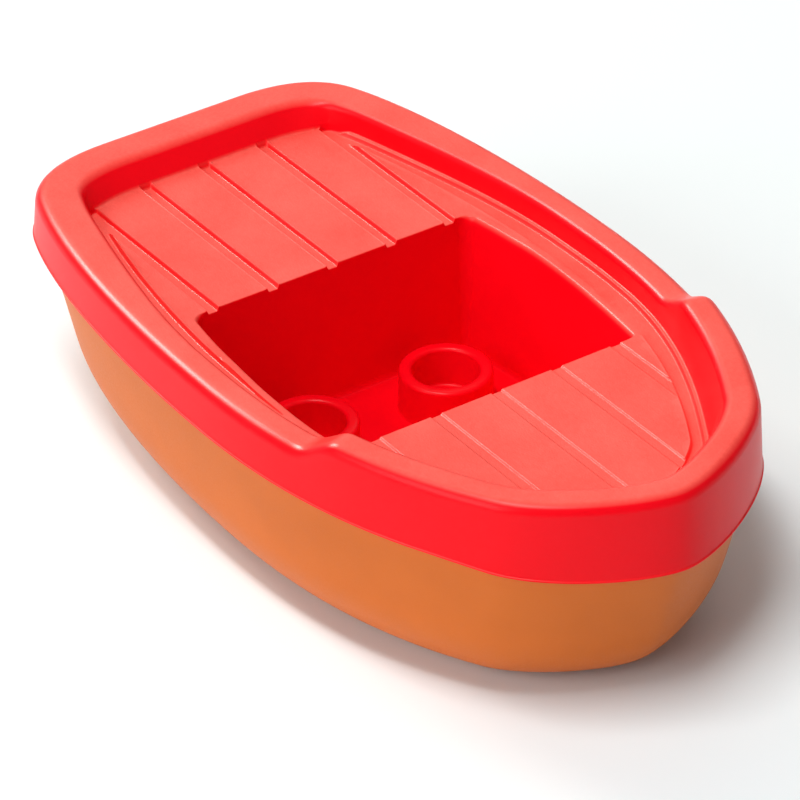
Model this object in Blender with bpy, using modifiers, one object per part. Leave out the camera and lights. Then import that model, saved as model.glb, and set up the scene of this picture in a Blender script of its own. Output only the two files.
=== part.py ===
"""Small moulded toy boat for a preschool building-brick system.

Two plastic shells make the boat: a tan hull and a red deck moulding with a cockpit well and two studs. The deck
moulding's skirt laps over the hull's rim, where a tongue and channel joint holds a soft sealing ring. A steel
ballast plate sits low in the hull, on four pegs.

Frame: +X to the bow, +Y to port, +Z up. The origin is on the floor under the middle of the bounding box.
Dimensions are in millimetres and are turned into metres as the vertices are made.
"""

import math

import bmesh
import bpy
from mathutils import Vector
from mathutils.geometry import interpolate_bezier

MM = 0.001
GAP = 0.3  # clearance between neighbouring solids

# Overall size
HALF_LENGTH = 43.15
HALF_BEAM = 24.3
DECK_Z = 20.0
WALL = 1.5

# Rim, skirt and bow bulwark, with heights measured from the deck
RIM_RISE = 2.6
BULWARK_RISE = 5.0
BULWARK_FOOT_X = 14.3
BULWARK_TOP_X = 18.5
SKIRT_DROP_AFT = 2.3
SKIRT_DROP_BOW = 3.3
SKIRT_FLARE = 0.4  # the skirt's lower edge stands this far outside the rim
SKIRT_WALL = 1.2
RIM_WIDTH = 3.3
RIM_WIDTH_GAIN_AFT = 1.3
RIM_OUTER_RADIUS = 1.3
RIM_INNER_RADIUS = 0.8

# Inset of the foot of the rim's inner wall, which slopes most at the stern and under the bow bulwark
FOOT_INSET = 3.4
FOOT_GAIN_STERN = 1.9
FOOT_GAIN_BOW = 1.3
FOOT_FILLET = 0.15
FOOT_FILLET_RISE = 0.3
AFT_BLEND_X = -5.5
BOW_BLEND_X = 8.0
BLEND_LENGTH = 26.0

# Tongue and channel joint under the rim
CHANNEL_ROOF_DROP = 2.8  # below the rim's top
CHANNEL_WIDTH = 1.8
TONGUE_INSET = SKIRT_WALL + GAP
TONGUE_WALL = CHANNEL_WIDTH - 2 * GAP
SEAL_HEIGHT = 0.6
SEAL_CHAMFER = 0.2
RIB_DROP = 3.2  # below the deck
RIB_WALL = 1.2

# Hull sections: a straight side, leaning in, that runs into a round bilge
HULL_INSET = 0.7
BILGE_SHARE = 0.72  # the sections' rings are set out up to this share of the shelf's height
SKIN_RINGS = 9
LINING_RINGS = 8
SHELF_THICKNESS = 0.4
SHELF_CHAMFER = 1.0
SIDE_LEAN = {"bow": 17.0, "side": 6.0, "stern": 24.0}
BILGE_RADIUS = {"bow": 9.5, "side": 9.0, "stern": 12.0}

# Deck grooves
GROOVE_PITCH = 7.0
GROOVE_WIDTH = 1.2
GROOVE_DEPTH = 0.4
PLANK_GROOVE_ENDS = [(-36.4, 36.8), (-36.4, 33.1), (-34.8, 23.2)]  # by distance from the middle
EDGE_GROOVE_DEPTH = 0.45
EDGE_GROOVE_AFT_X = -31.6
PLANK_EDGE_INSET = 5.9
LEDGE = 0.4  # between the foot of the rim's wall and the edge groove

# Cockpit well and studs
WELL_AFT_X = -13.65
WELL_FORE_X = 13.75
WELL_AFT_BREADTH = 16.3
WELL_FORE_BREADTH = 16.7
WELL_BULGE = 0.9
WELL_CORNER = 1.4
WELL_DRAFT = 0.6
WELL_FILLET = 0.7
WELL_DEPTH = 15.4
WELL_LIP_WIDTH = 0.6  # the port and starboard lips are rounded off this far out
WELL_LIP_DEPTH = 0.8
WELL_BLOCK_CHAMFER = 0.8
STUD_X = -5.75
STUD_PITCH = 16.0
STUD_RADIUS = 4.7
STUD_BORE = 3.4
STUD_HEIGHT = 4.5
STUD_EDGE = 0.35
BORE_FLOOR = 0.3  # the bore's floor stands this far above the well's

# Ballast plate and the pegs that hold it
PLATE_LENGTH = 48.0
PLATE_WIDTH = 20.0
PLATE_THICKNESS = 1.0
PLATE_X = -2.0
PLATE_CORNER = 3.0
PEG_SPAN_X = 40.0
PEG_SPAN_Y = 12.0
PEG_RADIUS = 1.0
PEG_HEAD_RADIUS = 2.0
PEG_HEAD = 0.8
PEG_HOLE_CLEARANCE = 0.4

COLLECTION = "toy_boat"
CUTTERS = "toy_boat_cutters"


def clear_scene():
    for old in list(bpy.data.objects):
        bpy.data.objects.remove(old, do_unlink=True)


def make_collection(name):
    collection = bpy.data.collections.get(name) or bpy.data.collections.new(name)
    if name not in bpy.context.scene.collection.children:
        bpy.context.scene.collection.children.link(collection)
    return collection


def make_material(name, color, roughness, metallic=0.0):
    material = bpy.data.materials.new(name)
    material.use_nodes = True
    shader = material.node_tree.nodes["Principled BSDF"]
    shader.inputs["Base Color"].default_value = (*color, 1.0)
    shader.inputs["Roughness"].default_value = roughness
    shader.inputs["Metallic"].default_value = metallic
    return material


def ease(value):
    """A smooth step from 0 to 1."""
    t = min(max(value, 0.0), 1.0)
    return t * t * (3 - 2 * t)


# Outline of the boat seen from above


def half_outline():
    """Port half of the outline, from the middle of the stern to the tip of the bow."""
    stern = Vector((-HALF_LENGTH, 8.0))
    quarter = Vector((-37.4, 19.2))
    beam = Vector((0.2, HALF_BEAM))
    shoulder = Vector((34.1, 15.45))
    bow = Vector((HALF_LENGTH, 0.0))
    across = Vector((0.0, 1.0))
    forward = Vector((1.0, 0.0))
    out_quarter = Vector((0.925, 0.38))
    in_shoulder = Vector((0.853, -0.522))
    spans = [
        (stern, stern + 5.7 * across, quarter - 4.2 * out_quarter, quarter, 8),
        (quarter, quarter + 7.9 * out_quarter, beam - 15.6 * forward, beam, 9),
        (beam, beam + 12.1 * forward, shoulder - 12.6 * in_shoulder, shoulder, 24),
        (shoulder, shoulder + 5.3 * in_shoulder, bow + 3.7 * across, bow, 10),
    ]
    points = [Vector((-HALF_LENGTH, 0.0)), Vector((-HALF_LENGTH, 4.0))]
    for start, handle_1, handle_2, end, count in spans:
        points += interpolate_bezier(start, handle_1, handle_2, end, count)[:-1]
    points.append(bow)
    return [Vector((p[0], p[1])) for p in points]


def full_outline():
    """The closed outline, anticlockwise from above, with its outward normals."""
    port = half_outline()
    starboard = [Vector((p.x, -p.y)) for p in port[1:-1]]
    points = starboard + [port[-1]] + port[-2:0:-1] + [port[0]]
    count = len(points)
    normals = []
    for i in range(count):
        along = points[(i + 1) % count] - points[i - 1]
        normals.append(Vector((along.y, -along.x)).normalized())
    return points, normals


OUTLINE, NORMALS = full_outline()


def ring(inset, height):
    """A ring that follows the outline. inset and height are numbers or functions of a point and its normal."""
    vertices = []
    for point, normal in zip(OUTLINE, NORMALS):
        d = inset(point, normal) if callable(inset) else inset
        z = height(point) if callable(height) else height
        vertices.append(Vector((point.x - d * normal.x, point.y - d * normal.y, z)))
    return vertices


def rim_top(drop=0.0):
    """Height of the rim, less drop: it climbs a short slope to the bulwark round the bow."""

    def height(point):
        climb = ease((point.x - BULWARK_FOOT_X) / (BULWARK_TOP_X - BULWARK_FOOT_X))
        return DECK_Z + RIM_RISE + climb * (BULWARK_RISE - RIM_RISE) - drop

    return height


def skirt_bottom(drop=0.0):
    """Height of the skirt's lower edge, less drop: it dips a little round the bow."""

    def height(point):
        sag = ease((point.x - 28.0) / 16.0)
        return DECK_Z - SKIRT_DROP_AFT - sag * (SKIRT_DROP_BOW - SKIRT_DROP_AFT) - drop

    return height


def rim_width(extra=0.0):
    """Inset of the rim's inner edge: the rim is widest round the stern."""

    def inset(point, normal):
        return RIM_WIDTH + RIM_WIDTH_GAIN_AFT * ease((AFT_BLEND_X - point.x) / BLEND_LENGTH) + extra

    return inset


def wall_foot(extra=0.0):
    """Inset of the foot of the rim's inner wall, on the deck."""

    def inset(point, normal):
        aft = RIM_WIDTH_GAIN_AFT * ease((AFT_BLEND_X - point.x) / BLEND_LENGTH)
        stern = FOOT_GAIN_STERN * max((-normal.x - 0.3) / 0.7, 0.0) ** 0.7
        bow = FOOT_GAIN_BOW * ease((point.x - BOW_BLEND_X) / BLEND_LENGTH)
        return FOOT_INSET + aft + stern + bow + extra

    return inset


def section_inset(direction, z, thickness):
    """How far the hull's skin lies inside the outline at height z, for the bow, side or stern section.

    The section is a straight side that leans in, then an arc down to the flat bottom. thickness moves it inwards.
    """
    lean = math.radians(SIDE_LEAN[direction])
    radius = BILGE_RADIUS[direction]
    top = DECK_Z - (SKIRT_DROP_BOW if direction == "bow" else SKIRT_DROP_AFT) - GAP
    tangent_z = radius * (1 - math.sin(lean))
    bottom_inset = HULL_INSET + (top - tangent_z) * math.tan(lean) + radius * math.cos(lean)
    inner_radius = radius - thickness
    if z < radius - inner_radius * math.sin(lean):
        return bottom_inset - math.sqrt(max(inner_radius**2 - (radius - z) ** 2, 0.0))
    return HULL_INSET + thickness / math.cos(lean) + (top - z) * math.tan(lean)


def hull_ring(height, thickness=0.0):
    """A ring of the hull's skin: the outline drawn in by the bow, side and stern sections."""
    vertices = []
    for point in OUTLINE:
        z = height(point) if callable(height) else height
        end = "bow" if point.x > 0 else "stern"
        along = 1 - section_inset(end, z, thickness) / HALF_LENGTH
        across = 1 - section_inset("side", z, thickness) / HALF_BEAM
        vertices.append(Vector((point.x * along, point.y * across, z)))
    return vertices


def bilge_heights(low, high, count):
    """Heights from low to high, closer together where the bilge is flatter."""
    return [low + (high - low) * (1 - math.cos(math.pi / 2 * i / count)) for i in range(count + 1)]


def well_ring(grow, side_grow, z):
    """A ring of the cockpit well: straight ends, sides that bulge with the hull, and round corners."""
    corner = WELL_CORNER + grow
    aft, fore = WELL_AFT_X - grow, WELL_FORE_X + grow
    ends = {"aft": WELL_AFT_BREADTH + grow + side_grow, "fore": WELL_FORE_BREADTH + grow + side_grow}
    port = []
    for step in range(5):
        angle = math.pi / 2 * step / 4
        port.append((fore - corner + corner * math.cos(angle), ends["fore"] - corner + corner * math.sin(angle)))
    side_count = 8
    for step in range(1, side_count):
        t = step / side_count
        bulge = WELL_BULGE * 4 * t * (1 - t)
        x = fore - corner + t * (aft - fore + 2 * corner)
        port.append((x, ends["fore"] + t * (ends["aft"] - ends["fore"]) + bulge))
    for step in range(5):
        angle = math.pi / 2 + math.pi / 2 * step / 4
        port.append((aft + corner + corner * math.cos(angle), ends["aft"] - corner + corner * math.sin(angle)))
    points = port + [(x, -y) for x, y in reversed(port)]
    return [Vector((x, y, z)) for x, y in points]


# Objects


def add_object(name, mesh, collection, material=None, smooth_angle=30.0):
    obj = bpy.data.objects.new(name, mesh)
    collection.objects.link(obj)
    if material:
        mesh.materials.append(material)
    mesh.shade_smooth()
    mesh.set_sharp_from_angle(angle=math.radians(smooth_angle))
    return obj


def hide_cutter(obj):
    obj.hide_render = True
    obj.display_type = "WIRE"
    return obj


def loft_mesh(name, rings, closed=False):
    """A skin over rings of equal length, with flat ends, or joined last to first when closed."""
    bm = bmesh.new()
    rows = [[bm.verts.new(v * MM) for v in one] for one in rings]
    pairs = list(zip(rows, rows[1:]))
    if closed:
        pairs.append((rows[-1], rows[0]))
    else:
        bm.faces.new(rows[0])
        bm.faces.new(rows[-1])
    for low, high in pairs:
        for i in range(len(low)):
            j = (i + 1) % len(low)
            bm.faces.new((low[i], low[j], high[j], high[i]))
    bmesh.ops.recalc_face_normals(bm, faces=bm.faces)
    mesh = bpy.data.meshes.new(name)
    bm.to_mesh(mesh)
    bm.free()
    return mesh


def box_mesh(name, boxes):
    """Several axis-aligned boxes in one mesh, each given by its low and high corners."""
    bm = bmesh.new()
    for low, high in boxes:
        made = bmesh.ops.create_cube(bm, size=1.0)
        for vertex in made["verts"]:
            for axis in range(3):
                vertex.co[axis] = (high if vertex.co[axis] > 0 else low)[axis] * MM
    mesh = bpy.data.meshes.new(name)
    bm.to_mesh(mesh)
    bm.free()
    return mesh


def turned_object(name, profile, place, collection, steps=40):
    """A solid of revolution about Z from (radius, height) points that end on the axis."""
    mesh = bpy.data.meshes.new(name)
    vertices = [(r * MM, 0.0, z * MM) for r, z in profile]
    mesh.from_pydata(vertices, [(i, i + 1) for i in range(len(vertices) - 1)], [])
    obj = bpy.data.objects.new(name, mesh)
    collection.objects.link(obj)
    obj.location = Vector(place) * MM
    screw = obj.modifiers.new("turn", "SCREW")
    screw.steps = steps
    screw.render_steps = steps
    screw.use_merge_vertices = True
    screw.merge_threshold = 0.00005
    return obj


def boolean(obj, other, operation):
    modifier = obj.modifiers.new(other.name, "BOOLEAN")
    modifier.operation = operation
    modifier.solver = "EXACT"
    modifier.object = other


def arc_profile(centre, radius, start, end, count):
    """(radius, height) points on an arc, with the angles in degrees."""
    points = []
    for i in range(count + 1):
        angle = math.radians(start + (end - start) * i / count)
        points.append((centre[0] + radius * math.cos(angle), centre[1] + radius * math.sin(angle)))
    return points


# Parts


def make_deck(parts, cutters, material):
    """The red moulding: rim, skirt, bulwark, deck, cockpit well and studs."""
    outer, inner = RIM_OUTER_RADIUS, RIM_INNER_RADIUS
    rings = [
        ring(wall_foot(), DECK_Z),
        ring(wall_foot(-FOOT_FILLET), DECK_Z + FOOT_FILLET_RISE),
        ring(rim_width(), rim_top(inner)),
        ring(rim_width(-0.3 * inner), rim_top(0.3 * inner)),
        ring(rim_width(-inner), rim_top()),
    ]
    for angle in (90, 60, 30, 0):
        turn = math.radians(angle)
        rings.append(ring(outer * (1 - math.cos(turn)), rim_top(outer * (1 - math.sin(turn)))))
    rings += [
        ring(-SKIRT_FLARE, skirt_bottom()),
        ring(SKIRT_WALL, skirt_bottom()),
        ring(SKIRT_WALL, rim_top(CHANNEL_ROOF_DROP)),
        ring(SKIRT_WALL + CHANNEL_WIDTH, rim_top(CHANNEL_ROOF_DROP)),
        ring(SKIRT_WALL + CHANNEL_WIDTH, DECK_Z - RIB_DROP),
        ring(SKIRT_WALL + CHANNEL_WIDTH + RIB_WALL, DECK_Z - RIB_DROP),
        ring(SKIRT_WALL + CHANNEL_WIDTH + RIB_WALL, DECK_Z - WALL),
    ]
    deck = add_object("deck_moulding", loft_mesh("deck_moulding", rings), parts, material)
    boolean(deck, make_well_block(cutters), "UNION")
    boolean(deck, make_well_cavity(cutters), "DIFFERENCE")
    for side, label in ((1, "port"), (-1, "starboard")):
        boolean(deck, make_stud(cutters, label, side * STUD_PITCH / 2), "UNION")
    boolean(deck, make_plank_grooves(cutters), "DIFFERENCE")
    boolean(deck, make_edge_groove(cutters), "DIFFERENCE")
    return deck


def make_well_block(cutters):
    floor = DECK_Z - WELL_DEPTH
    foot = WALL - WELL_DRAFT
    rings = [
        well_ring(foot - WELL_BLOCK_CHAMFER, 0.0, floor - WALL),
        well_ring(foot, 0.0, floor - WALL + WELL_BLOCK_CHAMFER),
        well_ring(WALL, 0.0, DECK_Z - WALL / 2),
    ]
    return hide_cutter(add_object("well_block", loft_mesh("well_block", rings), cutters))


def make_well_cavity(cutters):
    floor = DECK_Z - WELL_DEPTH
    rings = [
        well_ring(0.0, WELL_LIP_WIDTH, DECK_Z + 1.0),
        well_ring(0.0, WELL_LIP_WIDTH, DECK_Z),
        well_ring(0.0, WELL_LIP_WIDTH / 3, DECK_Z - WELL_LIP_DEPTH / 3),
        well_ring(0.0, 0.0, DECK_Z - WELL_LIP_DEPTH),
        well_ring(-WELL_DRAFT, 0.0, floor + WELL_FILLET),
        well_ring(-WELL_DRAFT - 0.3 * WELL_FILLET, 0.0, floor + 0.3 * WELL_FILLET),
        well_ring(-WELL_DRAFT - WELL_FILLET, 0.0, floor),
    ]
    return hide_cutter(add_object("well_cavity", loft_mesh("well_cavity", rings), cutters))


def make_stud(cutters, label, y):
    """A hollow stud with rounded edges and a blind bore."""
    floor = DECK_Z - WELL_DEPTH
    base, top = floor - 0.5, floor + STUD_HEIGHT
    edge = STUD_EDGE
    profile = [(0.0, floor + BORE_FLOOR), (STUD_BORE, floor + BORE_FLOOR)]
    profile += arc_profile((STUD_BORE + edge, top - edge), edge, 180, 90, 3)
    profile += arc_profile((STUD_RADIUS - edge, top - edge), edge, 90, 0, 3)
    profile += [(STUD_RADIUS, base), (0.0, base)]
    return hide_cutter(turned_object(f"stud_{label}", profile, (STUD_X, y, 0.0), cutters))


def make_plank_grooves(cutters):
    """Five straight grooves on the aft deck and five on the foredeck."""
    half = GROOVE_WIDTH / 2
    bottom, top = DECK_Z - GROOVE_DEPTH, DECK_Z + 0.2
    boxes = []
    for line, (aft_end, fore_end) in enumerate(PLANK_GROOVE_ENDS):
        for side in {1, -1} if line else {1}:
            y = side * line * GROOVE_PITCH
            boxes.append(((aft_end, y - half, bottom), (WELL_AFT_X + 1.0, y + half, top)))
            boxes.append(((WELL_FORE_X - 1.0, y - half, bottom), (fore_end, y + half, top)))
    return hide_cutter(add_object("plank_grooves", box_mesh("plank_grooves", boxes), cutters))


def make_edge_groove(cutters):
    """The groove between the planks and the foot of the rim, from one quarter round the bow to the other."""
    bottom, top = DECK_Z - EDGE_GROOVE_DEPTH, DECK_Z + 0.25
    outer, inner = wall_foot(LEDGE), PLANK_EDGE_INSET
    corners = [ring(outer, bottom), ring(inner, bottom), ring(inner, top), ring(outer, top)]
    keep = [i for i, point in enumerate(OUTLINE) if point.x > EDGE_GROOVE_AFT_X]
    sections = [[side[i] for side in corners] for i in keep]
    return hide_cutter(add_object("edge_groove", loft_mesh("edge_groove", sections), cutters))


def make_hull(parts, cutters, material):
    """The tan shell: a flat-bottomed skin, a shelf for the skirt and a tongue for the channel under the rim."""
    outer_tongue, inner_tongue = TONGUE_INSET, TONGUE_INSET + TONGUE_WALL
    tongue_top = rim_top(CHANNEL_ROOF_DROP + 2 * GAP + SEAL_HEIGHT)
    shelf_z = DECK_Z - SKIRT_DROP_AFT - GAP
    bilge_z = BILGE_SHARE * shelf_z
    skin = [hull_ring(z) for z in bilge_heights(0.0, bilge_z, SKIN_RINGS)]
    lining = [hull_ring(z, WALL) for z in reversed(bilge_heights(WALL, bilge_z, LINING_RINGS))]
    rings = skin + [
        ring(HULL_INSET, skirt_bottom(GAP)),
        ring(outer_tongue, skirt_bottom(GAP)),
        ring(outer_tongue, tongue_top),
        ring(inner_tongue, tongue_top),
        ring(inner_tongue, skirt_bottom(GAP + SHELF_THICKNESS)),
        ring(HULL_INSET + WALL, skirt_bottom(GAP + SHELF_THICKNESS + SHELF_CHAMFER)),
    ]
    rings += lining
    hull = add_object("hull_shell", loft_mesh("hull_shell", rings), parts, material)
    for i, (x, y) in enumerate(peg_places()):
        boolean(hull, make_peg(cutters, i + 1, x, y), "UNION")
    return hull


def peg_places():
    return [
        (PLATE_X + end * PEG_SPAN_X / 2, side * PEG_SPAN_Y / 2)
        for end in (-1, 1)
        for side in (-1, 1)
    ]


def make_peg(cutters, number, x, y):
    """A peg on the hull's floor, its head formed over the ballast plate."""
    head_z = WALL + PLATE_THICKNESS + 2 * GAP
    profile = [(0.0, head_z + PEG_HEAD), (0.7 * PEG_HEAD_RADIUS, head_z + PEG_HEAD)]
    profile += [(PEG_HEAD_RADIUS, head_z + 0.5 * PEG_HEAD), (PEG_HEAD_RADIUS, head_z)]
    profile += [(PEG_RADIUS, head_z), (PEG_RADIUS, WALL / 2), (0.0, WALL / 2)]
    return hide_cutter(turned_object(f"peg_{number}", profile, (x, y, 0.0), cutters, steps=16))


def make_seal(parts, material):
    """The soft ring between the hull's tongue and the roof of the channel."""
    low = rim_top(CHANNEL_ROOF_DROP + GAP + SEAL_HEIGHT)
    high = rim_top(CHANNEL_ROOF_DROP + GAP)
    middle = rim_top(CHANNEL_ROOF_DROP + GAP + SEAL_HEIGHT / 2)
    outer, inner = TONGUE_INSET, TONGUE_INSET + TONGUE_WALL
    rings = [
        ring(outer, middle),
        ring(outer + SEAL_CHAMFER, high),
        ring(inner - SEAL_CHAMFER, high),
        ring(inner, middle),
        ring(inner - SEAL_CHAMFER, low),
        ring(outer + SEAL_CHAMFER, low),
    ]
    return add_object("rim_seal", loft_mesh("rim_seal", rings, closed=True), parts, material)


def make_ballast(parts, cutters, material):
    """The steel plate, with round corners and four holes for the pegs."""
    low = WALL + GAP
    corner_low = (PLATE_X - PLATE_LENGTH / 2, -PLATE_WIDTH / 2, low)
    corner_high = (PLATE_X + PLATE_LENGTH / 2, PLATE_WIDTH / 2, low + PLATE_THICKNESS)
    plate = add_object("ballast_plate", box_mesh("ballast_plate", [(corner_low, corner_high)]), parts, material)
    bevel = plate.modifiers.new("round_corners", "BEVEL")
    bevel.width = PLATE_CORNER * MM
    bevel.segments = 5
    bevel.limit_method = "WEIGHT"
    weights = plate.data.attributes.new("bevel_weight_edge", "FLOAT", "EDGE")
    for edge in plate.data.edges:
        ends = [plate.data.vertices[i].co for i in edge.vertices]
        weights.data[edge.index].value = 1.0 if abs(ends[0].z - ends[1].z) > 0.5 * MM else 0.0
    for i, (x, y) in enumerate(peg_places()):
        bpy.ops.mesh.primitive_cylinder_add(
            vertices=24,
            radius=(PEG_RADIUS + PEG_HOLE_CLEARANCE) * MM,
            depth=4 * PLATE_THICKNESS * MM,
            location=Vector((x, y, low + PLATE_THICKNESS / 2)) * MM,
        )
        hole = bpy.context.object
        hole.name = f"peg_hole_{i + 1}"
        for collection in list(hole.users_collection):
            collection.objects.unlink(hole)
        cutters.objects.link(hole)
        boolean(plate, hide_cutter(hole), "DIFFERENCE")
    return plate


def main():
    clear_scene()
    parts = make_collection(COLLECTION)
    cutters = make_collection(CUTTERS)
    red = make_material("red_plastic", (0.84, 0.02, 0.02), 0.5)
    tan = make_material("tan_plastic", (0.62, 0.22, 0.06), 0.45)
    grey = make_material("grey_elastomer", (0.10, 0.10, 0.10), 0.8)
    steel = make_material("zinc_steel", (0.55, 0.56, 0.58), 0.35, metallic=1.0)
    make_hull(parts, cutters, tan)
    make_deck(parts, cutters, red)
    make_seal(parts, grey)
    make_ballast(parts, cutters, steel)


main()
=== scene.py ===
"""Looks of the small moulded toy boat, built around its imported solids.

The deck moulding and the hull shell are made again as fine closed meshes from the same dimensions as the
CAD, with rounded edges, soft groove walls and moulded texture. The rim seal and the ballast plate stay as
they are and get materials. Dimensions are in millimetres, +X to the bow, +Y to port, +Z up.
"""

import math

import bmesh
import bpy
import numpy as np
from mathutils import Matrix, Vector, noise
from mathutils.geometry import delaunay_2d_cdt, interpolate_bezier


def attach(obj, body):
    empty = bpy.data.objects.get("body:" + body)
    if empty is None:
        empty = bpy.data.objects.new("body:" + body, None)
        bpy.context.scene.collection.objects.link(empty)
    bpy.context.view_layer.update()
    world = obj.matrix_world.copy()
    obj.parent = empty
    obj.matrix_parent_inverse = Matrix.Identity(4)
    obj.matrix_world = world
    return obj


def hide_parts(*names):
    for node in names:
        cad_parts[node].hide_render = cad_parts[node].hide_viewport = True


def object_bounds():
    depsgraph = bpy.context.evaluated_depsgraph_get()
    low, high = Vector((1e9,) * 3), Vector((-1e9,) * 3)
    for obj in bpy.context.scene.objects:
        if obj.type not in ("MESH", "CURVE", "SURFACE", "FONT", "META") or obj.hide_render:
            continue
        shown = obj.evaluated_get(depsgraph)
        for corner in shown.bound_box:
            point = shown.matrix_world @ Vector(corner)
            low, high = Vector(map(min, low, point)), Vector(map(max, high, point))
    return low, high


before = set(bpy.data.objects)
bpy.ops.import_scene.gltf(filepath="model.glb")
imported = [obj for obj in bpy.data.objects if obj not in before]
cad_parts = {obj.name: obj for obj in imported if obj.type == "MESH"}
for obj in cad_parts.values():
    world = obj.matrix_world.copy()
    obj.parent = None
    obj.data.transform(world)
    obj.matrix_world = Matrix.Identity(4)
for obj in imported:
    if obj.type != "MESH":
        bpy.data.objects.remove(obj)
cad_low, cad_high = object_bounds()

MM = 0.001
GAP = 0.3
HALF_LENGTH = 43.15
HALF_BEAM = 24.3
DECK_Z = 20.0
WALL = 1.5

# Rim, bulwark and skirt
RIM_RISE = 2.6
BULWARK_RISE = 5.0
BULWARK_FOOT_X = 14.4
BULWARK_TOP_X = 18.2
SKIRT_DROP_AFT = 2.3
SKIRT_DROP_BOW = 3.3
SKIRT_FLARE = 0.4
SKIRT_WALL = 1.2
RIM_WIDTH = 3.3
AFT_GAIN = 1.3
BOW_GAIN = 1.3
AFT_BLEND_X = -5.5
BOW_BLEND_X = 8.0
BLEND_LENGTH = 26.0
SKIRT_SAG_X = 28.0
SKIRT_SAG_LENGTH = 16.0
STERN_SLOPE = 1.9
FOOT_INSET = 3.4
CHANNEL_ROOF_DROP = 2.8
CHANNEL_WIDTH = 1.8
RIB_DROP = 3.2
RIB_WALL = 1.2
TONGUE_INSET = SKIRT_WALL + GAP
TONGUE_WALL = CHANNEL_WIDTH - 2 * GAP
SEAL_HEIGHT = 0.6
LEDGE_START = 0.3

# Hull sections
HULL_INSET = 0.7
SIDE_LEAN = {"bow": 17.0, "side": 6.0, "stern": 24.0}
BILGE_RADIUS = {"bow": 9.5, "side": 9.0, "stern": 12.0}

# Deck grooves
GROOVE_PITCH = 7.0
GROOVE_HALF = 0.6
GROOVE_DEPTH = 0.42
FORE_GROOVE_DEPTH = 0.17
AFT_PLANKS_HALF = 2 * GROOVE_PITCH - GROOVE_HALF  # the planks that run to the stern stop here
LEDGE = 0.45
PLANK_EDGE_INSET = 5.85
PLANK_EDGE_GAIN = 0.45

# Cockpit well and studs
WELL_AFT_X = -13.65
WELL_FORE_X = 13.75
WELL_AFT_BREADTH = 16.3
WELL_FORE_BREADTH = 16.7
WELL_BULGE = 0.9
WELL_CORNER = 1.4
WELL_DRAFT = 0.6
WELL_DEPTH = 15.4
FLOOR_Z = DECK_Z - WELL_DEPTH
STUD_X = -5.75
STUD_PITCH = 16.0
STUD_RADIUS = 4.7
STUD_BORE = 3.4
STUD_HEIGHT = 4.5
STUD_BORE_FLOOR = 0.3  # above the well's floor

# Ballast pegs on the hull's floor
PLATE_X = -2.0
PEG_SPAN_X = 40.0
PEG_SPAN_Y = 12.0
PEG_RADIUS = 1.0
PEG_HEAD_RADIUS = 2.0
PEG_HEAD = 0.8
PLATE_THICKNESS = 1.0


def ease(value):
    """A smooth step from 0 to 1."""
    t = min(max(value, 0.0), 1.0)
    return t * t * (3 - 2 * t)


def soft_ramp(value, low, high, foot, crest):
    """A straight climb from 0 at low to 1 at high, rounded over foot and crest either side of its ends."""
    slope = 1 / (high - low)

    def corner(x, size):
        if x <= -size:
            return 0.0
        if x >= size:
            return x
        return (x + size) ** 2 / (4 * size)

    return slope * (corner(value - low, foot) - corner(value - high, crest))


# Outline of the boat seen from above


def half_outline():
    """Port half of the outline, from the middle of the stern to the tip of the bow."""
    stern = Vector((-HALF_LENGTH, 8.0))
    quarter = Vector((-37.4, 19.2))
    beam = Vector((0.2, HALF_BEAM))
    shoulder = Vector((34.1, 15.45))
    bow = Vector((HALF_LENGTH, 0.0))
    across = Vector((0.0, 1.0))
    forward = Vector((1.0, 0.0))
    out_quarter = Vector((0.925, 0.38))
    in_shoulder = Vector((0.853, -0.522))
    spans = [
        (stern, stern + 5.7 * across, quarter - 4.2 * out_quarter, quarter, 31),
        (quarter, quarter + 7.9 * out_quarter, beam - 15.6 * forward, beam, 57),
        (beam, beam + 12.1 * forward, shoulder - 12.6 * in_shoulder, shoulder, 101),
        (shoulder, shoulder + 5.3 * in_shoulder, bow + 3.7 * across, bow, 46),
    ]
    points = [Vector((-HALF_LENGTH, 0.5 * i)) for i in range(16)]
    for start, handle_1, handle_2, end, count in spans:
        points += interpolate_bezier(start, handle_1, handle_2, end, count)[:-1]
    points.append(bow)
    return [Vector((p[0], p[1])) for p in points]


def full_outline():
    """The closed outline, anticlockwise from above, with its outward normals."""
    port = half_outline()
    starboard = [Vector((p.x, -p.y)) for p in port[1:-1]]
    points = starboard + [port[-1]] + port[-2:0:-1] + [port[0]]
    count = len(points)
    normals = []
    for i in range(count):
        along = points[(i + 1) % count] - points[i - 1]
        normals.append(Vector((along.y, -along.x)).normalized())
    return points, normals


def aft_share(point):
    """How far a shape has changed towards its form at the stern."""
    return ease((AFT_BLEND_X - point.x) / BLEND_LENGTH)


def bow_share(point):
    """How far a shape has changed towards its form at the bow."""
    return ease((point.x - BOW_BLEND_X) / BLEND_LENGTH)


def rim_width(point):
    return RIM_WIDTH + AFT_GAIN * aft_share(point)


def wall_foot(point, normal):
    """Inset of the foot of the rim's inner wall, which slopes most across the stern."""
    stern = STERN_SLOPE * max((-normal.x - 0.3) / 0.7, 0.0) ** 0.7
    return FOOT_INSET + AFT_GAIN * aft_share(point) + stern + BOW_GAIN * bow_share(point)


def ledge_inset(point):
    """Inset of the edge groove's outer wall. At the stern the rim's slope covers the ledge outside it."""
    gain = AFT_GAIN * aft_share(point) + BOW_GAIN * bow_share(point)
    return FOOT_INSET + LEDGE + gain


def plank_inset(point):
    """Inset of the planks' edge, which is the edge groove's inner wall."""
    return PLANK_EDGE_INSET + PLANK_EDGE_GAIN * (aft_share(point) + bow_share(point))


def rim_top(point):
    climb = soft_ramp(point.x, BULWARK_FOOT_X, BULWARK_TOP_X, 1.3, 0.7)
    return DECK_Z + RIM_RISE + climb * (BULWARK_RISE - RIM_RISE)


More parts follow.
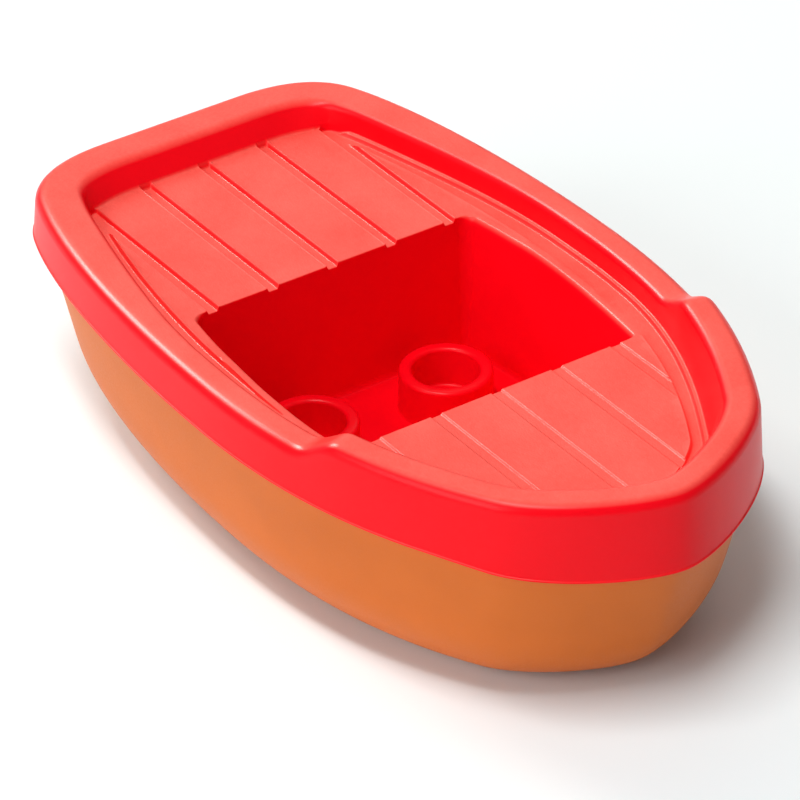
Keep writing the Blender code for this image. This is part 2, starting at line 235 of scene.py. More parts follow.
def skirt_bottom(point):
    sag = ease((point.x - SKIRT_SAG_X) / SKIRT_SAG_LENGTH)
    return DECK_Z - SKIRT_DROP_AFT - sag * (SKIRT_DROP_BOW - SKIRT_DROP_AFT)


# Deck surface: planks and grooves

# A groove's wall in section: distance outwards from the wall's middle, and share of the groove's depth
# below the deck. Negative shares are a low bead along the edge.
GROOVE_WALL = [
    (-0.24, 1.0),
    (-0.14, 0.96),
    (-0.08, 0.83),
    (0.02, 0.2),
    (0.07, -0.02),
    (0.13, -0.14),
    (0.2, -0.1),
    (0.28, 0.0),
]


def wall_share(distance):
    """Share of a groove's depth at a distance outwards from the middle of its wall."""
    if distance <= GROOVE_WALL[0][0]:
        return 1.0
    for (d0, s0), (d1, s1) in zip(GROOVE_WALL, GROOVE_WALL[1:]):
        if distance <= d1:
            return s0 + (s1 - s0) * (distance - d0) / (d1 - d0)
    return 0.0


def groove_lines():
    """Where the grooves' walls change slope, across the boat."""
    lines = []
    for row in range(-2, 3):
        for side in (-1, 1):
            for distance, _ in GROOVE_WALL:
                lines.append(row * GROOVE_PITCH + side * (GROOVE_HALF + distance))
    return sorted(lines)


GROOVE_LINES = groove_lines()


def refine_outline(points, normals):
    """Adds outline points at the stern where the wall's foot crosses the grooves' walls."""
    new_points, new_normals = [], []
    count = len(points)
    for i in range(count):
        j = (i + 1) % count
        new_points.append(points[i])
        new_normals.append(normals[i])
        if points[i].x > -30 or points[j].x > -30:
            continue
        ends = []
        for k in (i, j):
            ends.append(points[k].y - normals[k].y * (wall_foot(points[k], normals[k]) + LEDGE_START))
        inside = [y for y in GROOVE_LINES if min(ends) + 0.01 < y < max(ends) - 0.01]
        for y in sorted(inside, reverse=ends[1] < ends[0]):
            t = (y - ends[0]) / (ends[1] - ends[0])
            new_points.append(points[i].lerp(points[j], t))
            new_normals.append(normals[i].lerp(normals[j], t).normalized())
    return new_points, new_normals


OUTLINE, NORMALS = refine_outline(*full_outline())
FOOTS = [wall_foot(p, n) for p, n in zip(OUTLINE, NORMALS)]
LEDGES = [ledge_inset(p) for p in OUTLINE]
PLANKS = [plank_inset(p) for p in OUTLINE]
OUTLINE_START = np.array(OUTLINE)
OUTLINE_EDGE = np.roll(OUTLINE_START, -1, axis=0) - OUTLINE_START
OUTLINE_EDGE_SQUARED = (OUTLINE_EDGE**2).sum(1)


def rim_distance(x, y):
    """Distance inwards from the outline, and the insets of the edge groove's two walls there."""
    to = np.array((x, y)) - OUTLINE_START
    t = np.clip((to * OUTLINE_EDGE).sum(1) / OUTLINE_EDGE_SQUARED, 0, 1)
    gaps = ((to - t[:, None] * OUTLINE_EDGE) ** 2).sum(1)
    i = int(gaps.argmin())
    j = (i + 1) % len(OUTLINE)
    outer = LEDGES[i] + t[i] * (LEDGES[j] - LEDGES[i])
    inner = PLANKS[i] + t[i] * (PLANKS[j] - PLANKS[i])
    return math.sqrt(gaps[i]), outer, inner


def deck_height(x, y):
    """Height of the deck's surface, grooves and the moulding's faint sinks included."""
    distance, outer, inner = rim_distance(x, y)
    edge = min(wall_share(outer - distance), wall_share(distance - inner))
    if x < -20:
        edge = min(edge, wall_share(AFT_PLANKS_HALF - abs(y)))
    row = round(y / GROOVE_PITCH)
    line = 0.0
    if abs(row) <= 2 and (x < 0 or distance > (outer + inner) / 2):
        line = wall_share(abs(y - row * GROOVE_PITCH) - GROOVE_HALF)
    sink = noise.noise(Vector((x / 5.5, y / 4.0, 3.7))) * 0.022
    inland = ease((distance - outer) / 2.0)
    depth = GROOVE_DEPTH if x < 0 else FORE_GROOVE_DEPTH
    fall = (edge * GROOVE_DEPTH, line * depth)
    return DECK_Z - (max(fall) if max(fall) > 0 else min(fall)) + sink * inland


# Sections: corners of a profile with a rounding each, turned into rows of points


def rounded(corners, steps=6):
    """Points along a line of (a, b, rounding) corners. A rounding is trimmed off both sides of its corner."""
    points = []
    for i, (a, b, trim) in enumerate(corners):
        here = Vector((a, b))
        if trim == 0:
            points.append(here)
            continue
        before = Vector(corners[i - 1][:2]) - here
        after = Vector(corners[i + 1][:2]) - here
        start = here + before.normalized() * min(trim, 0.48 * before.length)
        end = here + after.normalized() * min(trim, 0.48 * after.length)
        # a conic that is close to a circle's arc
        weight = math.cos(math.pi / 4)
        for k in range(steps + 1):
            t = k / steps
            shares = ((1 - t) ** 2, 2 * weight * t * (1 - t), t * t)
            total = sum(shares)
            points.append((start * shares[0] + here * shares[1] + end * shares[2]) / total)
    return points


class Builder:
    """One closed mesh made from bands and plates whose rings meet."""

    def __init__(self):
        self.bm = bmesh.new()

    def ring(self, points):
        return [self.bm.verts.new(Vector(p) * MM) for p in points]

    def band(self, rows):
        """A skin over rows of rings."""
        made = [self.ring(row) for row in rows]
        for low, high in zip(made, made[1:]):
            for i in range(len(low)):
                j = (i + 1) % len(low)
                self.bm.faces.new((low[i], low[j], high[j], high[i]))

    def cap(self, points):
        self.bm.faces.new(self.ring(points))

    def plate(self, outer, holes, lines, grid, height):
        """Triangles between closed rings, with edges along lines. height(x, y) lifts the points inside."""
        verts, edges, fixed = [], [], {}
        for loop in [outer] + holes:
            first = len(verts)
            for k, p in enumerate(loop):
                fixed[len(verts)] = p[2]
                verts.append(Vector((p[0], p[1])))
                edges.append((first + k, first + (k + 1) % len(loop)))
        for line in lines:
            first = len(verts)
            verts += [Vector(p) for p in line]
            edges += [(first + k, first + k + 1) for k in range(len(line) - 1)]
        verts += [Vector(p) for p in grid]
        out, _, faces, origin, _, _ = delaunay_2d_cdt(verts, edges, [], 0, 1e-5)
        rings = [np.array([(p[0], p[1]) for p in loop]) for loop in [outer] + holes]
        centres = np.array([sum((out[i] for i in f), Vector((0, 0))) / len(f) for f in faces])
        keep = inside(rings[0], centres)
        for hole in rings[1:]:
            keep &= ~inside(hole, centres)
        used = sorted({i for f, k in zip(faces, keep) if k for i in f})
        made = {}
        for i in used:
            z = next((fixed[k] for k in origin[i] if k in fixed), None)
            if z is None:
                z = height(out[i].x, out[i].y)
            made[i] = self.bm.verts.new(Vector((out[i].x, out[i].y, z)) * MM)
        for f, k in zip(faces, keep):
            if k:
                self.bm.faces.new([made[i] for i in f])

    def finish(self, name, material, angle=40.0):
        bmesh.ops.remove_doubles(self.bm, verts=self.bm.verts, dist=0.0005 * MM)
        bmesh.ops.recalc_face_normals(self.bm, faces=self.bm.faces)
        mesh = bpy.data.meshes.new(name)
        self.bm.to_mesh(mesh)
        self.bm.free()
        mesh.materials.append(material)
        mesh.shade_smooth()
        mesh.set_sharp_from_angle(angle=math.radians(angle))
        obj = bpy.data.objects.new(name, mesh)
        bpy.context.scene.collection.objects.link(obj)
        weighted = obj.modifiers.new("weighted_normals", "WEIGHTED_NORMAL")
        weighted.keep_sharp = True
        weighted.weight = 80
        return obj


def inside(loop, points):
    """Which points lie inside a closed loop."""
    x, y = points[:, 0][:, None], points[:, 1][:, None]
    x0, y0 = loop[:, 0][None], loop[:, 1][None]
    x1, y1 = np.roll(loop[:, 0], -1)[None], np.roll(loop[:, 1], -1)[None]
    level = np.where(y0 == y1, 1e-12, y1 - y0)
    crosses = ((y0 > y) != (y1 > y)) & (x < (x1 - x0) * (y - y0) / level + x0)
    return crosses.sum(1) % 2 == 1


def offset(index, inset, z):
    """A point of the outline, moved inwards by inset."""
    point, normal = OUTLINE[index], NORMALS[index]
    return (point.x - inset * normal.x, point.y - inset * normal.y, z)


# Cockpit outline


def end_samples(x, facing, breadth):
    """Half of one straight end of the well, from the middle outwards, with points on every groove wall."""
    ys = [0.0] + [y for y in GROOVE_LINES if 0 < y < breadth - WELL_CORNER - 0.05]
    return [((x, y), (facing, 0.0)) for y in ys]


def corner_samples(x, y, quarter, steps=10):
    """One round corner of the well about a centre, from the given quarter turn to the next."""
    samples = []
    for k in range(steps + 1):
        a = math.pi / 2 * (quarter + k / steps)
        normal = (math.cos(a), math.sin(a))
        samples.append(((x + WELL_CORNER * normal[0], y + WELL_CORNER * normal[1]), normal))
    return samples


def side_samples(count=44):
    """The well's port side between its corners, from fore to aft, bulging outwards."""
    samples = []
    fore_x = WELL_FORE_X - WELL_CORNER
    length = WELL_FORE_X - WELL_AFT_X - 2 * WELL_CORNER
    taper = WELL_AFT_BREADTH - WELL_FORE_BREADTH
    for k in range(1, count):
        t = k / count
        y = WELL_FORE_BREADTH + t * taper + WELL_BULGE * 4 * t * (1 - t)
        slope = (taper + WELL_BULGE * 4 * (1 - 2 * t)) / length
        blend = ease(min(t, 1 - t) / 0.12)
        normal = Vector((slope * blend, 1.0)).normalized()
        samples.append(((fore_x - t * length, y), tuple(normal)))
    return samples


def well_outline():
    """Points of the well's edge with outward normals, anticlockwise."""
    port = end_samples(WELL_FORE_X, 1.0, WELL_FORE_BREADTH)
    port += corner_samples(WELL_FORE_X - WELL_CORNER, WELL_FORE_BREADTH - WELL_CORNER, 0)
    port += side_samples()
    port += corner_samples(WELL_AFT_X + WELL_CORNER, WELL_AFT_BREADTH - WELL_CORNER, 1)
    port += reversed(end_samples(WELL_AFT_X, -1.0, WELL_AFT_BREADTH))
    starboard = [((x, -y), (nx, -ny)) for (x, y), (nx, ny) in reversed(port[1:-1])]
    return port + starboard


WELL = well_outline()


def well_point(sample, grow, z):
    """A point of the well's outline, moved outwards by grow."""
    (x, y), (nx, ny) = sample
    return (x + grow * nx, y + grow * ny, z)


def lip_rounding(sample):
    """The well's edge is crisp at its ends and round along its sides."""
    return 0.16 + 0.84 * ease((abs(sample[1][1]) - 0.15) / 0.8)


def circle(radius, centre, z, count=72):
    angles = [2 * math.pi * k / count for k in range(count)]
    return [(centre[0] + radius * math.cos(a), centre[1] + radius * math.sin(a), z) for a in angles]


# The deck moulding


def rim_section(index):
    """The rim in section, from the deck up, over the rim, down the skirt and round the channel under it."""
    point = OUTLINE[index]
    foot, top, low = FOOTS[index], rim_top(point), skirt_bottom(point)
    start = offset(index, foot + LEDGE_START, 0)
    deck = deck_height(start[0], start[1])
    channel = SKIRT_WALL + CHANNEL_WIDTH
    width = rim_width(point)
    wall = [(foot + rise / (top - DECK_Z) * (width - foot), DECK_Z + rise, 0) for rise in (0.34, 0.5)]
    corners = [
        (foot + LEDGE_START, deck, 0),
        (foot, deck, 0.28),
        *wall,
        (width, top, 0.8),
        (0.0, top, 1.2),
        (-SKIRT_FLARE, low + 0.24, 0.04),
        (-SKIRT_FLARE - 0.11, low + 0.16, 0.04),
        (-SKIRT_FLARE - 0.11, low, 0.08),
        (SKIRT_WALL, low, 0.12),
        (SKIRT_WALL, top - CHANNEL_ROOF_DROP, 0),
        (channel, top - CHANNEL_ROOF_DROP, 0),
        (channel, DECK_Z - RIB_DROP, 0),
        (channel + RIB_WALL, DECK_Z - RIB_DROP, 0),
        (channel + RIB_WALL, DECK_Z - WALL, 0),
    ]
    return rounded(corners)


def well_section(sample):
    """The well in section, from the deck down to its floor."""
    trim = lip_rounding(sample)
    x, y, _ = well_point(sample, trim + 0.04, 0)
    deck = deck_height(x, y)
    corners = [
        (trim + 0.04, deck, 0),
        (0.0, deck, trim),
        (-WELL_DRAFT, FLOOR_Z, 0.8),
        (-WELL_DRAFT - 0.78, FLOOR_Z, 0),
    ]
    return rounded(corners, 7)


def edge_groove_lines(deck_zone):
    """Lines along the walls of the groove round the planks, cut at the rim, the well and the stern planks."""
    lip_zone = np.array([well_point(w, lip_rounding(w) + 0.12, 0)[:2] for w in WELL])
    lines = []
    for insets, side in ((LEDGES, -1), (PLANKS, 1)):
        for distance, _ in GROOVE_WALL:
            reach = [inset + side * distance for inset in insets]
            spots = [offset(i, inset, 0)[:2] for i, inset in enumerate(reach)]
            free = inside(deck_zone, np.array(spots)) & ~inside(lip_zone, np.array(spots))
            line = []
            for i, spot in enumerate(spots):
                near_foot = reach[i] < FOOTS[i] + LEDGE_START + 0.05
                aft = spot[0] < -20 and (abs(spot[1]) < AFT_PLANKS_HALF or near_foot)
                # the inset line doubles back on itself at the tip of the bow
                folded = spot[0] > 30 and 0 < abs(spot[1]) < 0.04
                if free[i] and not aft and not folded:
                    line.append(spot)
                elif len(line) > 1 and not folded:
                    lines.append(line)
                    line = []
            if len(line) > 1:
                lines.append(line)
    return lines


def fore_groove_end(x, y):
    """Where a plank groove's line, followed towards the bow from x, reaches the middle of the edge groove."""
    while True:
        distance, outer, inner = rim_distance(x, y)
        if distance < (outer + inner) / 2 + 0.05:
            return (x, y)
        x += 0.05


def aft_groove_end(x, y, deck_zone):
    """Where a plank groove's line, followed towards the stern from x, is about to leave the deck."""
    while inside(deck_zone, np.array([(x - 0.1, y)]))[0]:
        x -= 0.05
    return (x, y)


def plank_groove_lines(deck_edge, well_edge, deck_zone):
    """Lines along the walls of the straight grooves between planks, fore and aft of the well."""
    lip = {}
    for (spot, normal), point in zip(WELL, well_edge):
        if abs(normal[0]) > 0.999:
            lip[(normal[0] > 0, round(spot[1], 4))] = point[:2]
    foot = {round(p[1], 3): p[:2] for p in deck_edge if p[0] < -30}
    lines = []
    for y in GROOVE_LINES:
        fore = lip.get((True, round(y, 4)))
        if fore is not None:
            lines.append([fore, fore_groove_end(fore[0], y)])
        aft = lip.get((False, round(y, 4)))
        if aft is not None:
            end = aft_groove_end(aft[0] - 12, y, deck_zone)
            lines.append([aft, foot.get(round(y, 3), end)])
    return lines


def deck_grid(step=1.1):
    """Staggered points on the open planks, clear of the grooves and the well."""
    grid = []
    for a in range(-36, 36):
        for b in range(-21, 22):
            x, y = a * step + 0.2 * (b % 2), b * step
            distance, _, inner = rim_distance(x, y)
            clear_of_lines = min(abs(y - line) for line in GROOVE_LINES) > 0.25
            clear_of_well = x < WELL_AFT_X - 1.2 or x > WELL_FORE_X + 1.2
            if distance > inner + 0.5 and clear_of_lines and clear_of_well:
                grid.append((x, y))
    return grid


def make_stud(build, centre):
    """A hollow stud on the well's floor. Gives back the ring where it meets the floor."""
    top = FLOOR_Z + STUD_HEIGHT
    bore_z = FLOOR_Z + STUD_BORE_FLOOR
    corners = [
        (STUD_RADIUS + 0.45, FLOOR_Z, 0),
        (STUD_RADIUS + 0.04, FLOOR_Z, 0.38),
        (STUD_RADIUS, top, 0.42),
        (STUD_BORE, top, 0.4),
        (STUD_BORE - 0.08, bore_z, 0.35),
        (STUD_BORE - 0.7, bore_z, 0),
    ]
    build.band([circle(r, centre, z) for r, z in rounded(corners)])
    build.cap(circle(STUD_BORE - 0.7, centre, bore_z))
    return circle(STUD_RADIUS + 0.45, centre, FLOOR_Z)


def make_deck(material):
    build = Builder()
    sections = [rim_section(i) for i in range(len(OUTLINE))]
    rows = [[offset(i, *section[k]) for i, section in enumerate(sections)] for k in range(len(sections[0]))]
    build.band(rows)
    wells = [well_section(s) for s in WELL]
    well_rows = [[well_point(s, *w[k]) for s, w in zip(WELL, wells)] for k in range(len(wells[0]))]
    build.band(well_rows)

    # planks, with edges along the walls of the grooves
    deck_zone = np.array([p[:2] for p in rows[0]])
    lines = edge_groove_lines(deck_zone) + plank_groove_lines(rows[0], well_rows[0], deck_zone)
    build.plate(rows[0], [well_rows[0]], lines, deck_grid(), deck_height)

    # the well's floor and its two studs
    stud_rings = [make_stud(build, (STUD_X, side * STUD_PITCH / 2)) for side in (-1, 1)]
    build.plate(well_rows[-1], stud_rings, [], [], lambda x, y: FLOOR_Z)

    # underside: the plate round the well's block, and the block
    under = DECK_Z - WALL
    block = [(1.47, under), (0.9, FLOOR_Z - WALL + 0.8), (0.1, FLOOR_Z - WALL)]
    block_rows = [[well_point(s, grow, z) for s in WELL] for grow, z in block]
    build.band(block_rows)
    build.cap(block_rows[-1])
    build.plate(rows[-1], [block_rows[0]], [], [], lambda x, y: under)
    return build.finish("deck_moulding_fine", material)


# The hull shell


def section_inset(direction, z, thickness):
    """Inset of the hull's section at a height: a round bilge under a straight side that leans out."""
    lean = math.radians(SIDE_LEAN[direction])
    radius = BILGE_RADIUS[direction]
    top = DECK_Z - (SKIRT_DROP_BOW if direction == "bow" else SKIRT_DROP_AFT) - GAP
    tangent_z = radius * (1 - math.sin(lean))
    bottom_inset = HULL_INSET + (top - tangent_z) * math.tan(lean) + radius * math.cos(lean)
    inner_radius = radius - thickness
    if z < radius - inner_radius * math.sin(lean):
        return bottom_inset - math.sqrt(max(inner_radius**2 - (radius - z) ** 2, 0.0))
    return HULL_INSET + thickness / math.cos(lean) + (top - z) * math.tan(lean)


def hull_ring(height, thickness=0.0):
    """The hull's outline at a height, or its lining's where a thickness is given."""
    made = []
    for point in OUTLINE:
        z = height(point) if callable(height) else height
        end = "bow" if point.x > 0 else "stern"
        along = 1 - section_inset(end, z, thickness) / HALF_LENGTH
        across = 1 - section_inset("side", z, thickness) / HALF_BEAM
        made.append((point.x * along, point.y * across, z))
    return made


def bilge_heights(low, high, count):
    """Heights from low to high, closest together at the bottom."""
    return [low + (high - low) * (1 - math.cos(math.pi / 2 * i / count)) for i in range(count + 1)]


def outline_ring(inset, height):
    return [offset(i, inset, height(OUTLINE[i])) for i in range(len(OUTLINE))]


def make_hull(material):
    build = Builder()
    outer, inner = TONGUE_INSET, TONGUE_INSET + TONGUE_WALL

    def shelf_z(point):
        return skirt_bottom(point) - GAP

    def tongue_top(point):
        return rim_top(point) - CHANNEL_ROOF_DROP - 2 * GAP - SEAL_HEIGHT

    bend = 0.72 * (DECK_Z - SKIRT_DROP_AFT - GAP)
    skin = [hull_ring(z) for z in bilge_heights(0.0, bend, 30)]
    for share in (0.25, 0.5, 0.75, 1.0):
        skin.append(hull_ring(lambda p, s=share: bend + s * (shelf_z(p) - bend)))
    lining = [hull_ring(z, WALL) for z in reversed(bilge_heights(WALL, bend, 10))]
    shelf = [
        outline_ring(outer, shelf_z),
        outline_ring(outer, tongue_top),
        outline_ring(inner, tongue_top),
        outline_ring(inner, lambda p: shelf_z(p) - 0.4),
        outline_ring(HULL_INSET + WALL, lambda p: shelf_z(p) - 1.4),
    ]
    build.band(skin + shelf + lining)
    build.cap(skin[0])
    build.cap(lining[-1])
    hull = build.finish("hull_shell_fine", material, angle=35.0)
    for end in (-1, 1):
        for side in (-1, 1):
            place = (PLATE_X + end * PEG_SPAN_X / 2, side * PEG_SPAN_Y / 2)
            peg = make_peg(place)
            union = hull.modifiers.new(f"peg_{end}_{side}", "BOOLEAN")
            union.operation = "UNION"
            union.solver = "EXACT"
            union.object = peg
    return hull


def make_peg(centre):
    """One of the pegs that hold the ballast plate, its head formed over the plate."""
    build = Builder()
    head = WALL + PLATE_THICKNESS + 2 * GAP
    corners = [
        (PEG_RADIUS, WALL / 2, 0),
        (PEG_RADIUS, head, 0),
        (PEG_HEAD_RADIUS, head, 0.15),
        (PEG_HEAD_RADIUS, head + PEG_HEAD, 0.5),
        (0.5, head + PEG_HEAD, 0),
    ]
    rows = [circle(r, centre, z, 32) for r, z in rounded(corners, 3)]
    build.band(rows)
    build.cap(rows[0])
    build.cap(rows[-1])
    peg = build.finish("peg_cutter", None)
    peg.hide_render = True
    peg.hide_viewport = True
    return peg


# Materials


class Shader:
    """A material's nodes, made by short calls."""

    def __init__(self, name):
        self.material = bpy.data.materials.new(name)
        self.material.use_nodes = True
        self.tree = self.material.node_tree
        self.principled = self.tree.nodes["Principled BSDF"]
        self.place = self.node("ShaderNodeTexCoord").outputs["Object"]

    def node(self, kind, **values):
        made = self.tree.nodes.new(kind)
        for key, value in values.items():
            if hasattr(made, key):
                setattr(made, key, value)
            else:
                made.inputs[key.replace("_", " ")].default_value = value
        return made

    def link(self, source, target):
        self.tree.links.new(source, target)

    def set(self, **values):
        for key, value in values.items():
            self.principled.inputs[key.replace("_", " ")].default_value = value

    def noise(self, size_mm, detail=2.0, rough=0.5):
        """Noise with features of about size_mm."""
        made = self.node("ShaderNodeTexNoise", Scale=1 / (size_mm * MM), Detail=detail, Roughness=rough)
        self.link(self.place, made.inputs["Vector"])
        return made.outputs["Fac"]

    def spread(self, source, low, high, to_low, to_high):
        """A value mapped from one range to another."""
        made = self.node("ShaderNodeMapRange")
        for key, value in zip(("From Min", "From Max", "To Min", "To Max"), (low, high, to_low, to_high)):
            made.inputs[key].default_value = value
        self.link(source, made.inputs["Value"])
        return made.outputs["Result"]

    def math(self, operation, a, b):
        made = self.node("ShaderNodeMath", operation=operation)
        for k, value in enumerate((a, b)):
            if isinstance(value, (int, float)):
                made.inputs[k].default_value = value
            else:
                self.link(value, made.inputs[k])
        return made.outputs["Value"]

    def mix(self, share, a, b):
        made = self.node("ShaderNodeMix", data_type="RGBA")
        self.link(share, made.inputs["Factor"])
        for socket, value in (("A", a), ("B", b)):
            target = [s for s in made.inputs if s.name == socket and s.type == "RGBA"][0]
            if isinstance(value, tuple):
                target.default_value = (*value, 1.0)
            else:
                self.link(value, target)
        return [s for s in made.outputs if s.type == "RGBA"][0]

    def bump(self, height, depth_mm, strength=1.0, below=None):
        made = self.node("ShaderNodeBump", Strength=strength, Distance=depth_mm * MM)
        self.link(height, made.inputs["Height"])
        if below is not None:
            self.link(below, made.inputs["Normal"])
        return made.outputs["Normal"]


def red_plastic():
    """Coral-red moulded plastic, grained on its level tops, smoother on edges, skirt and well. The tops'
    paler, pinker colour is partly a frosted finish and partly painted sheen.
    """
    s = Shader("red_plastic")
    s.set(IOR=1.5, Specular_IOR_Level=0.15)
    place = s.node("ShaderNodeSeparateXYZ")
    s.link(s.place, place.inputs[0])
    height = place.outputs["Z"]
    facing = s.node("ShaderNodeSeparateXYZ")
    s.link(s.node("ShaderNodeNewGeometry").outputs["Normal"], facing.inputs[0])
    upward = facing.outputs["Z"]
    outside = s.spread(height, (DECK_Z - 3.5) * MM, (DECK_Z - 0.5) * MM, 0.0, 1.0)
    # Painted sheen: upward-facing surfaces above the skirt get a paler, pinker colour, partly frosted finish
    # and partly painted sheen; the sideways-facing groove walls get less of it, which paints a darker line
    # along each groove
    tops = s.spread(upward, 0.7, 0.97, 0.0, 1.0)
    deck_level = s.spread(height, (DECK_Z + 0.1) * MM, (DECK_Z + 0.35) * MM, 1.0, 0.0)
    planks = s.math("MULTIPLY", s.spread(upward, 0.3, 0.85, 0.0, 1.0), deck_level)
    frost_and_sheen_share = s.math("MULTIPLY", s.math("MAXIMUM", tops, planks), outside)
    grained = s.math("MULTIPLY", s.spread(upward, 0.955, 0.995, 0.0, 1.0), outside)
    cloud = s.noise(7.0, 2.0, 0.5)
    grain = s.noise(0.2, 2.0, 0.6)
    coarse = s.noise(0.45, 2.0, 0.55)
    patches = s.math("ADD", s.math("MULTIPLY", cloud, 0.6), s.math("MULTIPLY", coarse, 0.4))
    tone = s.spread(patches, 0.2, 0.8, 0.0, 1.0)
    body = s.mix(tone, (0.85, 0.001, 0.007), (0.90, 0.001, 0.009))
    # the paler colour of the tops: partly frosted finish, partly painted sheen
    frost_and_sheen = s.mix(tone, (0.82, 0.062, 0.046), (0.95, 0.122, 0.094))
    s.link(s.mix(frost_and_sheen_share, body, frost_and_sheen), s.principled.inputs["Base Color"])
    smooth = s.spread(cloud, 0.2, 0.8, 0.28, 0.34)
    matt = s.spread(grain, 0.3, 0.7, 0.44, 0.58)
    blend = s.node("ShaderNodeMix", data_type="FLOAT")
    s.link(grained, blend.inputs[0])
    s.link(smooth, blend.inputs[2])
    s.link(matt, blend.inputs[3])
    s.link(blend.outputs[0], s.principled.inputs["Roughness"])
    rough = s.math("ADD", s.math("MULTIPLY", grain, 0.6), s.math("MULTIPLY", coarse, 0.5))
    s.link(s.bump(s.math("MULTIPLY", rough, grained), 0.05, 1.0), s.principled.inputs["Normal"])
    return s.material


def tan_plastic():
    """Tan satin plastic, with a very fine grain and the faint waves of a moulded wall."""
    s = Shader("tan_plastic")
    s.set(IOR=1.5, Specular_IOR_Level=0.2)
    cloud = s.noise(9.0, 2.0, 0.5)
    grain = s.noise(0.2, 2.0, 0.6)
    tone = s.spread(cloud, 0.2, 0.8, 0.0, 1.0)
    body = s.mix(tone, (0.60, 0.134, 0.014), (0.67, 0.152, 0.018))
    s.link(body, s.principled.inputs["Base Color"])
    s.link(s.spread(grain, 0.3, 0.7, 0.42, 0.52), s.principled.inputs["Roughness"])
    waves = s.bump(cloud, 0.05, 0.5)
    s.link(s.bump(grain, 0.02, 0.35, waves), s.principled.inputs["Normal"])
    return s.material


def grey_elastomer():
    """Dark grey seal rubber with a fine matt grain."""
    s = Shader("grey_elastomer")
    grain = s.noise(0.3, 3.0, 0.6)
    s.link(s.mix(grain, (0.06, 0.06, 0.06), (0.12, 0.12, 0.12)), s.principled.inputs["Base Color"])
    s.link(s.spread(grain, 0.3, 0.7, 0.7, 0.85), s.principled.inputs["Roughness"])
    s.link(s.bump(grain, 0.03, 0.5), s.principled.inputs["Normal"])
    return s.material


def zinc_steel():
    """Zinc-plated steel with the crystal flakes of the plating."""
    s = Shader("zinc_steel")
    s.set(Metallic=1.0)
    flakes = s.node("ShaderNodeTexVoronoi", Scale=1 / (1.6 * MM))
    s.link(s.place, flakes.inputs["Vector"])
    tone = s.spread(flakes.outputs["Distance"], 0.0, 0.8, 0.0, 1.0)
    s.link(s.mix(tone, (0.50, 0.51, 0.54), (0.62, 0.63, 0.65)), s.principled.inputs["Base Color"])
    s.link(s.spread(flakes.outputs["Distance"], 0.0, 0.8, 0.25, 0.42), s.principled.inputs["Roughness"])
    return s.material


# The pieces

red = red_plastic()
tan = tan_plastic()
deck = make_deck(red)
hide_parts("deck_moulding")
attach(deck, "root")
hull = make_hull(tan)
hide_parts("hull_shell")
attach(hull, "root")
for node, material in (("rim_seal", grey_elastomer()), ("ballast_plate", zinc_steel())):
    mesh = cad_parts[node].data
    mesh.materials.clear()
    mesh.materials.append(material)


# Floor, light and camera

FLOOR_CLEARANCE = 0.02


def make_floor():
    """A wide white floor a hair below the boat."""
    bm = bmesh.new()
    bmesh.ops.create_grid(bm, x_segments=1, y_segments=1, size=3.0)
    mesh = bpy.data.meshes.new("floor")
    bm.to_mesh(mesh)
    bm.free()
    floor = bpy.data.objects.new("floor", mesh)
    bpy.context.scene.collection.objects.link(floor)
    floor.location.z = cad_low.z - FLOOR_CLEARANCE * MM
    s = Shader("white_sweep")
    s.set(Base_Color=(0.82, 0.88, 0.89, 1.0), Roughness=0.9, Specular_IOR_Level=0.2)
    mesh.materials.append(s.material)


def area_light(name, direction, distance, size, power, colour=(1.0, 1.0, 1.0)):
    """A soft box that points at the boat, size metres along X and along Y."""
    data = bpy.data.lights.new(name, "AREA")
    data.shape = "RECTANGLE"
    data.size, data.size_y = size
    data.energy = power
    data.color = colour
    light = bpy.data.objects.new(name, data)
    light.visible_camera = False
    bpy.context.scene.collection.objects.link(light)
    away = Vector(direction).normalized()
    along = (Vector((1.0, 0.0, 0.0)) - away * away.x).normalized()
    turn = Matrix((along, away.cross(along), away)).transposed().to_4x4()
    light.matrix_world = Matrix.Translation(away * distance) @ turn
    return light


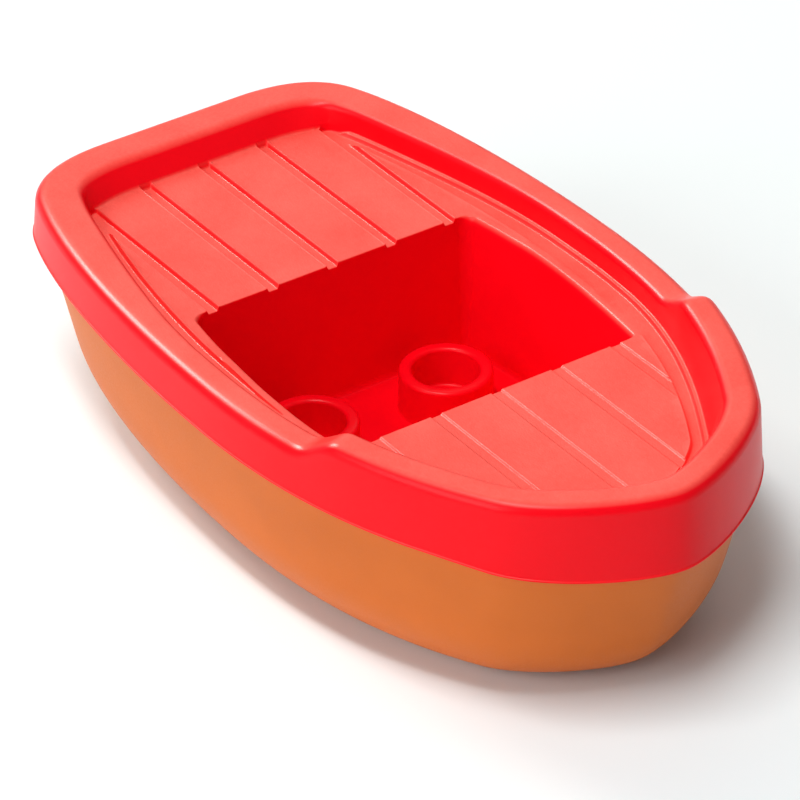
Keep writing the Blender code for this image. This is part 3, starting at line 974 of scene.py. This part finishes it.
def make_world():
    """A dim studio that is brighter overhead and behind the stern."""
    world = bpy.data.worlds.new("studio")
    bpy.context.scene.world = world
    world.use_nodes = True
    tree = world.node_tree
    place = tree.nodes.new("ShaderNodeTexCoord")
    lean = tree.nodes.new("ShaderNodeVectorMath")
    lean.operation = "DOT_PRODUCT"
    lean.inputs[1].default_value = (-0.72, -0.2, 0.66)
    tree.links.new(place.outputs["Generated"], lean.inputs[0])
    level = tree.nodes.new("ShaderNodeMapRange")
    for key, value in (("From Min", -0.1), ("From Max", 0.9), ("To Min", 0.17), ("To Max", 0.30)):
        level.inputs[key].default_value = value
    tree.links.new(lean.outputs["Value"], level.inputs["Value"])
    tree.nodes["Background"].inputs["Color"].default_value = (1.0, 1.0, 1.0, 1.0)
    tree.links.new(level.outputs["Result"], tree.nodes["Background"].inputs["Strength"])


def make_lights():
    area_light("key", (0.09, -0.276, 1.0), 0.9, (0.48, 0.14), 5.0)
    area_light("rim", (-0.78, -0.24, 0.58), 0.9, (0.2, 0.2), 2.6, (1.0, 0.92, 0.84))
    glint = area_light("glint", (-0.72, -0.24, 0.62), 0.9, (0.3, 0.3), 10.5, (1.0, 0.93, 0.87))
    glint.visible_diffuse = False
    area_light("fill", (0.1, -0.88, 0.45), 0.9, (0.6, 0.5), 4.0)
    area_light("back", (-0.68, 0.47, 0.58), 1.0, (0.75, 0.75), 1.6, (1.0, 0.94, 0.86))


def make_camera():
    """A long lens off the starboard bow. Distances are in millimetres until the camera is placed."""
    azimuth, elevation, roll = math.radians(34.7414), math.radians(33.7203), math.radians(-0.3249)
    distance = 503.163
    target = Vector((9.7669, -8.3125, 20.0))
    level = math.cos(elevation)
    back = Vector((math.cos(azimuth) * level, -math.sin(azimuth) * level, math.sin(elevation)))
    right = Vector((math.sin(azimuth), math.cos(azimuth), 0.0))
    up = back.cross(right)
    turned_right = right * math.cos(roll) + up * math.sin(roll)
    turned_up = up * math.cos(roll) - right * math.sin(roll)
    data = bpy.data.cameras.new("camera")
    data.sensor_width = 36.0
    data.lens = 240.46
    data.clip_start = 0.01
    data.clip_end = 10.0
    camera = bpy.data.objects.new("camera", data)
    bpy.context.scene.collection.objects.link(camera)
    place = (target + back * distance) * MM
    turn = Matrix((turned_right, turned_up, back)).transposed().to_4x4()
    camera.matrix_world = Matrix.Translation(place) @ turn
    bpy.context.scene.camera = camera


make_floor()
make_world()
make_lights()
make_camera()
bpy.context.scene.view_settings.view_transform = "Standard"
